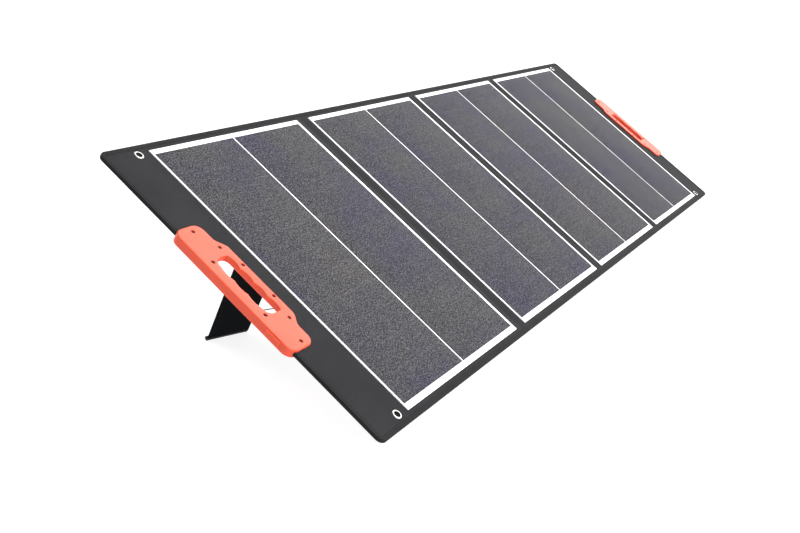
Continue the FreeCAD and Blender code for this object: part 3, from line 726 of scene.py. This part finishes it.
def screw_centres(side):
    """Eight places, in four pairs about the handle's middle."""
    pairs = (
        (LOBE_INNER + 0.0189, 0.0975),
        (BULGE_INNER + 0.0139, 0.0633),
        (SLOT_OUTER + 0.005, 0.0468),
        (BULGE_INNER + 0.0053, 0.0281),
    )
    return [(side * (MODULE_EDGE + x), MIDDLE + sign * y) for x, y in pairs for sign in (1, -1)]


def cloth_outline(index):
    """Outline of a panel's cloth between the edges of its board, with the notch of an end panel."""
    low, high = BOARDS[index]
    if index in (1, 2):
        return rounded([(low.x, 0, 0), (high.x, 0, 0), (high.x, HEIGHT, 0), (low.x, HEIGHT, 0)])
    side = -1 if index == 0 else 1
    seam = high.x if index == 0 else low.x
    notch = side * (MODULE_EDGE + NOTCH_INNER)
    corners = [
        (seam, 0, 0),
        (side * END, 0, CORNER_RADIUS),
        (side * END, MIDDLE - NOTCH_HALF, 0),
        (notch, MIDDLE - NOTCH_HALF, NOTCH_CORNER),
        (notch, MIDDLE + NOTCH_HALF, NOTCH_CORNER),
        (side * END, MIDDLE + NOTCH_HALF, 0),
        (side * END, HEIGHT, CORNER_RADIUS),
        (seam, HEIGHT, 0),
    ]
    return rounded(corners)


def make_cloth(index, which, low, high):
    """Front or back cloth of a panel, pierced for the eyelets and the handle's screws."""
    panel = PANELS[index]
    outline = cloth_outline(index)
    wall = [(0, low), (0, high)]
    holes = []
    if index in (0, 3):
        side = -1 if index == 0 else 1
        for x, y in eyelet_centres(side):
            holes.append((circle(x, y, EYELET_BARREL + HOLE_ROOM, 32), wall))
        for x, y in screw_centres(side):
            on_cloth = abs(x) < MODULE_EDGE + NOTCH_INNER or abs(y - MIDDLE) > NOTCH_HALF
            if on_cloth:
                holes.append((circle(x, y, SCREW_RADIUS + HOLE_ROOM, 12), wall))
    cut = sum(area(run) for run, _ in holes)
    bm = plate(outline, wall, holes)
    piece = build(bm, f"{panel}_{which}_cloth", [fabric])
    settle(piece, panel, "fabric", f"{panel}_{which}_fabric")
    area(outline) - cut


def tape_profile():
    """Closed section of the folded tape: a rounded nose over the edge and two flat legs."""
    nose = []
    for step in range(13):
        angle = math.pi / 2 - math.pi * step / 12
        bulge = (TAPE + TAPE_NOSE) * abs(math.cos(angle)) ** 0.8
        nose.append((TAPE_NOSE - bulge, SPLIT + (SPLIT + TAPE) * math.sin(angle)))
    lip = ((0.0, 0.0), (0.0001, 0.7 * TAPE), (0.0004, TAPE))
    front = [(TAPE_WRAP - inset, CLOTH_TOP + rise) for inset, rise in lip]
    back = [(TAPE_WRAP - inset, -rise) for inset, rise in reversed(lip)]
    return front + nose + back + [(0.0, 0.0), (0.0, CLOTH_TOP)]


def straight(x_from, x_to, y, parts=1):
    return [Vector((x_from + (x_to - x_from) * part / parts, y)) for part in range(parts + 1)]


def tape_paths(index):
    """Free edges of one panel, each walked so that the panel lies on the left."""
    low, high = BOARDS[index]
    if index in (1, 2):
        return [straight(low.x, high.x, 0.0), straight(high.x, low.x, HEIGHT)]
    outline = [
        (-END, MIDDLE, 0),
        (-END, 0, CORNER_RADIUS),
        (high.x if index == 0 else -low.x, 0, 0),
        (high.x if index == 0 else -low.x, HEIGHT, 0),
        (-END, HEIGHT, CORNER_RADIUS),
    ]
    run = rounded(outline, steps=10)
    gate = NOTCH_HALF - SHELL_CLEARANCE
    lower = [point for point in run if point.y < MIDDLE - gate]
    upper = [point for point in run if point.y > MIDDLE + gate]
    first = [Vector((-END, MIDDLE - gate)), *sorted(lower, key=lambda p: (p.x, -p.y))]
    second = [*sorted(upper, key=lambda p: (-p.x, -p.y)), Vector((-END, MIDDLE + gate))]
    if index == 0:
        return [first, second]
    return [[Vector((-p.x, p.y)) for p in path[::-1]] for path in (first, second)]


def make_tape(name, paths):
    """Tape folded over the given edges, stitched on both faces."""
    bm = bmesh.new()
    layer = bm.loops.layers.uv.verify()
    profile = tape_profile()
    for path in paths:
        sweep(bm, path, profile, layer)
    for path in paths:
        row = shifted(path, TAPE_WRAP - TAPE_STITCH_INSET)
        stitches(bm, row, CLOTH_TOP + TAPE)
        stitches(bm, row, -TAPE, outward=-1)
    return build(bm, name, [tape_cloth, thread], mapped=True)


def make_fold(joint, parent, child, index):
    """Cloth and tape that cross one fold, sunk a little between the two boards."""
    left = BOARDS[index][1].x
    right = BOARDS[index + 1][0].x
    seam = in_layout(joints[joint]["pos_m"]).x
    half = (right - left) / 2
    valley = index != 1
    columns = 28
    rows = 48
    xs = [left + (right - left) * i / columns for i in range(columns + 1)]
    ys = [HEIGHT * j / rows for j in range(rows + 1)]
    run_out = 0.014
    sag = 0.00125
    crease_depth = 0.00045
    crease_width = 0.0009
    slack = 0.0006

    def hollow(x, y, closing):
        """How far the cloth sinks between the boards, creased on the face that closes."""
        share = min(1.0, abs(x - seam) / half)
        clear = min(1.0, max(0.0, (min(y, HEIGHT - y) - TAPE_WRAP) / run_out))
        calm = clear * clear * (3 - 2 * clear)
        ripple = 1 + 0.12 * math.sin(41 * y + 1.3 * index) + 0.07 * math.sin(97 * y)
        crease = crease_depth * math.exp(-(((x - seam) / crease_width) ** 2))
        if closing:
            return calm * ripple * (sag * (0.5 + 0.5 * math.cos(math.pi * share)) + crease)
        return calm * ripple * slack * math.sin(math.pi * share) ** 2

    def front(x, y):
        return CLOTH_TOP - hollow(x, y, valley)

    def back(x, y):
        return hollow(x, y, not valley)

    sheets = (
        ("front", lambda x, y: front(x, y) - CLOTH, front),
        ("back", back, lambda x, y: back(x, y) + CLOTH),
    )
    pair = PANELS[index : index + 2]
    for which, low, high in sheets:
        slab = lattice(xs, ys, low, high)
        piece = build(slab, f"fold_{index + 1}_{which}_cloth", [fabric], angle=70)
        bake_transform(piece)
        settle(piece, None, "fabric", *(f"{panel}_{which}_fabric" for panel in pair))
    paths = [straight(left, right, 0.0, columns), straight(right, left, HEIGHT, columns)]
    piece = make_tape(f"fold_{index + 1}_tape", paths)
    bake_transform(piece)
    settle(piece, None, "tape", *(panel + "_edge_tape" for panel in pair))


# ---- handles
def handle_outline(side):
    """Outer shape of both shells: two end lobes and a bulge round the finger slot."""
    quarter = [
        (HANDLE_REACH, HANDLE_HALF, 0.014),
        (LOBE_INNER, HANDLE_HALF, 0.013),
        (WAIST_INNER, WAIST_HALF, 0.010),
        (BULGE_INNER, BULGE_HALF, 0.014),
    ]
    corners = quarter + [(x, -y, radius) for x, y, radius in reversed(quarter)]
    placed = [(side * (MODULE_EDGE + x), MIDDLE + y, radius) for x, y, radius in corners]
    return rounded(placed, 10)


def scallops(reach, count, depth):
    """Finger hollows along one side of the slot, as points from its low end to its high end."""
    points = []
    bow = (GRIP_PITCH**2 / 4 + depth**2) / (2 * abs(depth))
    for n in range(count):
        low = (n - count / 2) * GRIP_PITCH
        for step in range(9 if n == count - 1 else 8):
            along = GRIP_PITCH * step / 8
            sag = math.sqrt(bow**2 - (along - GRIP_PITCH / 2) ** 2) - (bow - abs(depth))
            points.append((reach + math.copysign(sag, depth), low + along, 0))
    return points


def slot_outline(side):
    inner = scallops(SLOT_INNER, 4, -INNER_GRIP)
    outer = scallops(SLOT_OUTER, 3, OUTER_GRIP)
    ends = [(SLOT_OUTER, end * SLOT_HALF, SLOT_CORNER) for end in (1, -1)]
    corners = inner + ends[:1] + outer[::-1] + ends[1:]
    return rounded([(side * (MODULE_EDGE + x), MIDDLE + y, radius) for x, y, radius in corners])


def rear_slot_outline(side):
    corners = [
        (REAR_SLOT_INNER, -REAR_SLOT_HALF),
        (REAR_SLOT_OUTER, -REAR_SLOT_HALF),
        (REAR_SLOT_OUTER, REAR_SLOT_HALF),
        (REAR_SLOT_INNER, REAR_SLOT_HALF),
    ]
    return rounded([(side * (MODULE_EDGE + x), MIDDLE + y, REAR_SLOT_CORNER) for x, y in corners])


def cloth_room(side, low, high):
    """Room inside both shells for the taped fabric, outside the wall of the finger slot."""
    outer = END + TAPE + SHELL_CLEARANCE
    inner = MODULE_EDGE + BULGE_INNER - 0.010
    notch = MODULE_EDGE + NOTCH_INNER + SHELL_CLEARANCE
    half = NOTCH_HALF - 2 * SHELL_CLEARANCE
    past = HANDLE_HALF + 0.010
    corners = [
        (outer, -past),
        (outer, -half),
        (notch, -half),
        (notch, half),
        (outer, half),
        (outer, past),
        (inner, past),
        (inner, -past),
    ]
    outline = rounded([(side * x, MIDDLE + y, 0) for x, y in corners])
    return build(plate(outline, [(0, low), (0, high)]), "room", [orange])


def screw_set(side, front_top, bore_low):
    """Domed screws with a star recess, sunk below the handle's face."""
    head_top = front_top - SCREW_HEAD_HEIGHT
    tip = bore_low + SCREW_TIP_ROOM
    axis = 0.0001
    recess = 0.0007
    dome = [
        (axis, recess),
        (0.0011, recess),
        (0.0012, 0.00002),
        (0.0017, 0.00006),
        (0.0023, 0.00025),
        (SCREW_HEAD, 0.0006),
        (SCREW_HEAD, SCREW_HEAD_HEIGHT),
        (SCREW_RADIUS, SCREW_HEAD_HEIGHT),
    ]
    profile = [(radius, head_top - drop) for radius, drop in dome]
    profile += [(SCREW_RADIUS, tip + 0.001), (axis, tip)]

    def star(radius, angle):
        on_recess = 0.0004 < radius < 0.0013
        return radius * (1 + 0.16 * math.cos(6 * angle)) if on_recess else radius

    bm = bmesh.new()
    for x, y in screw_centres(side):
        lathe(bm, x, y, profile, 24, star)
    return bm


def make_handle(side, word, panel):
    """Front and rear shells of a handle, hollowed for the fabric, with their screws and catch."""
    outline = handle_outline(side)
    front_top = CLOTH_TOP + SHELL_FRONT
    recess = front_top - 2 * SCREW_HEAD_HEIGHT
    bore = SCREW_RADIUS + HOLE_ROOM
    seat = SCREW_HEAD + SHELL_CLEARANCE - bore
    rim = 0.0003
    slot_wall = [(0, SPLIT), *soft_edge(SPLIT, front_top, 0, SLOT_EDGE)[1:]]
    front_holes = [(slot_outline(side), slot_wall)]
    for x, y in screw_centres(side):
        steps = [(0, SPLIT), (0, recess), (seat, recess)]
        steps += [(seat, front_top - rim), (seat + rim, front_top)]
        front_holes.append((circle(x, y, bore), steps))
    side_wall = soft_edge(SPLIT, front_top, SHELL_SEAM, FRONT_EDGE, 5)
    front = plate(outline, side_wall, front_holes)
    piece = build(front, f"handle_{word}_front", [orange])
    carve(piece, cloth_room(side, SPLIT - OVERCUT, CLOTH_TOP + TAPE + SHELL_CLEARANCE / 2))
    settle(piece, panel, "orange_plastic", f"handle_{word}_front_shell")

    rear_low = -SHELL_REAR
    bore_low = rear_low + SCREW_BORE_FLOOR
    rear_holes = [(rear_slot_outline(side), soft_edge(rear_low, SPLIT, REAR_SLOT_EDGE, 0))]
    side_wall = soft_edge(rear_low, SPLIT, REAR_EDGE, SHELL_SEAM, 5)
    rear = plate(outline, side_wall, rear_holes)
    piece = build(rear, f"handle_{word}_rear", [orange])
    carve(piece, cloth_room(side, -TAPE - SHELL_CLEARANCE / 2, SPLIT + OVERCUT))
    for x, y in screw_centres(side):
        tool = plate(circle(x, y, bore), [(0, bore_low), (0, SPLIT + OVERCUT)])
        carve(piece, build(tool, "bore", [orange]))
    settle(piece, panel, "orange_plastic", f"handle_{word}_rear_shell")

    piece = build(screw_set(side, front_top, bore_low), f"handle_{word}_screw_set", [steel])
    settle(piece, panel, "screw_steel", f"handle_{word}_screws")
    dress(f"handle_{word}_latch", orange, 0.0006)


def make_eyelets(side, word, panel):
    """Turned rings with a domed flange on the sun side, and their washers behind."""
    profile = [
        (EYELET_HOLE, -EYELET_RISE),
        (EYELET_BARREL, -EYELET_RISE),
        (EYELET_BARREL, CLOTH_TOP),
        (EYELET_FLANGE, CLOTH_TOP),
    ]
    middle = (EYELET_HOLE + EYELET_FLANGE) / 2
    half = (EYELET_FLANGE - EYELET_HOLE) / 2
    for step in range(1, 11):
        angle = math.pi * step / 11
        rise = EYELET_RISE * math.sin(angle) ** 0.75
        profile.append((middle + half * math.cos(angle), CLOTH_TOP + rise))
    profile.append((EYELET_HOLE, CLOTH_TOP - 0.0002))
    bm = bmesh.new()
    for x, y in eyelet_centres(side):
        lathe(bm, x, y, profile, 48)

    def in_painted_shade(place, normal):
        """The barrel's faces take a near-black metal: painted shade inside the eyelet's hole."""
        reach = min(math.dist(place[:2], centre) for centre in eyelet_centres(side))
        return 1 if reach < EYELET_BARREL + 2 * HOLE_ROOM else 0

    piece = build(bm, f"eyelet_rings_{word}", [nickel, shaded_barrel_metal], choose=in_painted_shade)
    settle(piece, panel, "nickel", "eyelets_" + word)
    dress("eyelet_washers_" + word, nickel, 0.0002, 2)


# ---- legs
def opened(word):
    """Placement that takes a leg drawn flat against the back to its open position."""
    swing = joints[f"leg_{word}_swing"]
    point = in_layout(swing["pos_m"])
    direction = STANDING.to_3x3().inverted() @ Vector(swing["axis"])
    turn = Matrix.Rotation(math.radians(-swing["range_deg"][0]), 4, direction)
    about_hinge = Matrix.Translation(point) @ turn @ Matrix.Translation(-point)
    return point, direction, turn, STANDING @ about_hinge


def slab_corners(node, placement):
    """Four corners of a slanted slab in the flat layout, and its two faces."""
    inverse = np.array(placement.inverted())
    points = world_points(node) @ inverse[:3, :3].T + inverse[:3, 3]
    low_x = points[:, 0].min()
    high_x = points[:, 0].max()
    corners = []
    for x in (low_x, high_x):
        column = points[abs(points[:, 0] - x) < 1e-4][:, 1]
        corners.append((x, column.min(), column.max()))
    return corners, points[:, 2].min(), points[:, 2].max()


def slanted(corners, radius):
    """Outline of a slab with upright sides and slanted ends."""
    (low_x, low_bottom, low_top), (high_x, high_bottom, high_top) = corners
    return rounded(
        [
            (low_x, low_bottom, radius),
            (high_x, high_bottom, radius),
            (high_x, high_top, radius),
            (low_x, low_top, radius),
        ],
        4,
    )


def make_leg(word):
    """Skins, edge binding and foot of a leg, and the flap that it turns on."""
    body = "leg_" + word
    hinge = opened(word)
    placement = hinge[3]
    corners, core_low, core_high = slab_corners(f"leg_{word}_board", placement)
    _, skin_low, skin_high = slab_corners(f"leg_{word}_cover", placement)
    (low_x, low_bottom, low_top), (high_x, high_bottom, high_top) = corners
    outline = slanted(corners, 0.0)
    inner_line = moved_in(outline, LEG_STITCH_INSET)
    inner_line.append(inner_line[0])
    length = max(low_top, high_top) - min(low_bottom, high_bottom)
    for which, low, high, outward in (
        ("front", core_high, skin_high, 1),
        ("rear", skin_low, core_low, -1),
    ):
        bm = plate(outline, [(0, low), (0, high)])
        stitches(bm, inner_line, high if outward > 0 else low, outward)
        piece = build(bm, f"leg_{word}_{which}_skin", [leg_cloth, thread], placement)
        settle(piece, body, "leg_fabric", f"leg_{word}_cover")
        area(outline)
    edge = bmesh.new()
    layer = edge.loops.layers.uv.verify()
    middle = (skin_low + skin_high) / 2
    reach = (skin_high - skin_low) / 2
    profile = [(0.0, skin_low), (0.0, skin_high)]
    for step in range(7):
        angle = math.pi / 2 - math.pi * step / 6
        bulge = LEG_BINDING * math.cos(angle) + 0.00005
        profile.append((-bulge, middle + reach * math.sin(angle)))
    for path in (
        [Vector((low_x, low_top)), Vector((low_x, low_bottom))],
        [Vector((high_x, high_bottom)), Vector((high_x, high_top))],
    ):
        sweep(edge, path, profile, layer)
    piece = build(edge, f"leg_{word}_edge_binding", [leg_cloth], placement, mapped=True)
    settle(piece, body, "leg_fabric")

    foot, foot_low, foot_high = slab_corners(f"leg_{word}_foot", placement)
    foot_wall = soft_edge(foot_low, foot_high, FOOT_EDGE, FOOT_EDGE, 3)
    bm = plate(slanted(foot, FOOT_CORNER), foot_wall)
    piece = build(bm, f"leg_{word}_foot_strip", [rubber], placement)
    settle(piece, body, "foot_strip", f"leg_{word}_foot")
    dress(f"leg_{word}_board", board_core)
    make_flap(word, high_x - low_x, hinge)


def make_flap(word, width, hinge):
    """Flap that a leg turns on, sewn to the back above the hinge and to the leg below it."""
    point, direction, turn, placement = hinge
    across = Vector((-direction.y, direction.x, 0.0))
    flat_direction = Vector((direction.x, direction.y, 0.0)).normalized()
    leg_half = width / 2 / flat_direction.x
    on_panel = 0.026
    on_leg = 0.014
    thick = 0.0007
    bend = 0.004
    xs = [leg_half * (-1 + 2 * i / 16) for i in range(17)]
    ys = lines((-on_leg, 8), (-bend, 14), (bend, 10), (on_panel, 0))
    opening = turn.to_3x3().to_quaternion().angle

    def bent(place):
        """Lays the flat flap along the hinge and turns its lower part with the open leg."""
        share = min(1.0, max(0.0, (bend - place.y) / (2 * bend)))
        share = share * share * (3 - 2 * share)
        spot = point + flat_direction * place.x + across * place.y
        spot.z = place.z - thick / 2 + (point.z + thick) * share
        part = Matrix.Rotation(opening * share, 3, direction)
        return point + part @ (spot - point)

    bm = lattice(xs, ys, lambda x, y: -thick / 2, lambda x, y: thick / 2)
    inset = 0.003
    left = xs[0] + inset
    right = xs[-1] - inset
    low = 0.0065
    high = on_panel - inset
    seams = (
        ((left, high), (right, high)),
        ((left, low), (right, low)),
        ((left, low), (left, high)),
        ((right, low), (right, high)),
        ((left, low), (right, high)),
        ((left, high), (right, low)),
    )
    for seam in seams:
        stitches(bm, [Vector(end) for end in seam], -thick / 2, -1)
    piece = build(bm, f"leg_{word}_flap", [leg_cloth, thread], STANDING, bend=bent, angle=70)
    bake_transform(piece)
    settle(piece, None, "leg_fabric", f"leg_{word}_hinge_patch")


def make_stay(word):
    """Stay cord from the leg to the back, with its two sewn anchors."""
    ends = []
    for where in ("leg", "back"):
        node = f"stay_{word}_{where}_anchor"
        points = world_points(node)
        ends.append(Vector((points.min(0) + points.max(0)) / 2))
    on_leg, on_back = ends
    cord_points = world_points(f"stay_{word}_cord")
    line = (on_back - on_leg).normalized()
    reach = cord_points @ np.array(line)
    offset = on_leg.dot(line)
    start = on_leg + line * (reach.min() - offset)
    stop = on_leg + line * (reach.max() - offset)
    across = line.orthogonal().normalized()
    other = line.cross(across)
    bm = bmesh.new()
    layer = bm.loops.layers.uv.verify()
    steps = 60
    sides = 12
    rings = []
    for step in range(steps + 1):
        centre = start.lerp(stop, step / steps)
        ring = []
        for k in range(sides):
            angle = 2 * math.pi * k / sides
            strand = STAY_RADIUS * (0.93 + 0.07 * math.cos(3 * angle + step * 1.1))
            away = across * math.cos(angle) + other * math.sin(angle)
            ring.append(bm.verts.new(centre + away * strand))
        rings.append(ring)
    for low, high in zip(rings, rings[1:]):
        bridge(bm, low, high)
    bm.faces.new(rings[0])
    bm.faces.new(rings[-1])
    for face in bm.faces:
        for loop in face.loops:
            from_start = loop.vert.co - start
            loop[layer].uv = (from_start.dot(line), from_start.dot(across))
    piece = build(bm, f"stay_cord_{word}", [cord_cloth], Matrix.Identity(4), mapped=True)
    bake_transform(piece)
    settle(piece, None, "cord", f"stay_{word}_cord")
    for where in ("leg", "back"):
        dress(f"stay_{word}_{where}_anchor", leg_cloth, 0.0003, 2)


# ---- the object
for number in range(4):
    make_module(number)
    make_cloth(number, "front", FRONT_LOW, CLOTH_TOP)
    make_cloth(number, "back", 0.0, CLOTH)
    tape = make_tape(PANELS[number] + "_tape", tape_paths(number))
    settle(tape, PANELS[number], "tape", PANELS[number] + "_edge_tape")
    dress(PANELS[number] + "_board", board_core)
for fold in FOLDS:
    make_fold(*fold)
for side, word, panel in SIDES:
    make_handle(side, word, panel)
    make_eyelets(side, word, panel)
    make_leg(word)
    make_stay(word)
dress("junction_box_housing", black_plastic, 0.0012)
dress("junction_box_lid", black_plastic, 0.0008)
dress("junction_box_screws", steel, 0.0003, 2)
dress("output_socket", black_plastic, 0.0003, 2)

# ---- floor, light and camera
scene = bpy.context.scene
floor_mesh = bpy.data.meshes.new("floor")
reach = 60.0
floor_corners = [(-reach, -reach, 0), (reach, -reach, 0), (reach, reach, 0), (-reach, reach, 0)]
floor_mesh.from_pydata(floor_corners, [], [(0, 1, 2, 3)])
floor = bpy.data.objects.new("floor", floor_mesh)
scene.collection.objects.link(floor)
floor_look = Look(
    "pale_floor",
    Base_Color=(0.3, 0.3, 0.3, 1.0),
    Roughness=0.9,
    Specular_IOR_Level=0.1,
    Emission_Color=(1.0, 1.0, 1.0, 1.0),
    Emission_Strength=0.88,
)
floor_mesh.materials.append(floor_look.material)

world = bpy.data.worlds.new("studio")
world.use_nodes = True
sky = world.node_tree
background = sky.nodes["Background"]
background.inputs["Color"].default_value = (1.0, 1.0, 1.0, 1.0)
towards = sky.nodes.new("ShaderNodeTexCoord")
height = sky.nodes.new("ShaderNodeSeparateXYZ")
fade = sky.nodes.new("ShaderNodeMapRange")
for socket, value in (("From Min", 0.1), ("From Max", 0.3), ("To Min", 1.05), ("To Max", 0.4)):
    fade.inputs[socket].default_value = value
sky.links.new(towards.outputs["Generated"], height.inputs[0])
sky.links.new(height.outputs["Z"], fade.inputs["Value"])
sky.links.new(fade.outputs["Result"], background.inputs["Strength"])
scene.world = world


def soft_sun(name, towards, strength, spread):
    """A wide distant light, given by the direction towards it."""
    data = bpy.data.lights.new(name, "SUN")
    data.energy = strength
    data.angle = math.radians(spread)
    light = bpy.data.objects.new(name, data)
    light.rotation_euler = Vector(towards).to_track_quat("Z", "Y").to_euler()
    scene.collection.objects.link(light)


soft_sun("front", (0.15, -0.78, 0.6), 4.0, 50.0)
soft_sun("right", (0.762, -0.109, 0.638), 2.4, 55.0)
soft_sun("rear", (0.25, 0.85, 0.42), 2.2, 45.0)

# the photograph's viewing angle, from the fit to the corners of the modules
camera_data = bpy.data.cameras.new("camera")
camera_data.sensor_width = 36.0
camera_data.lens = 46.63
camera_data.clip_end = 200.0
camera = bpy.data.objects.new("camera", camera_data)
right = Vector((0.47774, -0.8785, 0.00231)).normalized()
forward = Vector((0.84642, 0.45959, -0.26899)).normalized()
raised = right.cross(forward)
camera.matrix_world = Matrix.Translation((-1.76758, -0.74416, 0.52039)) @ Matrix(
    (right, raised, -forward)
).transposed().to_4x4()
scene.collection.objects.link(camera)
scene.camera = camera
scene.view_settings.view_transform = "Standard"
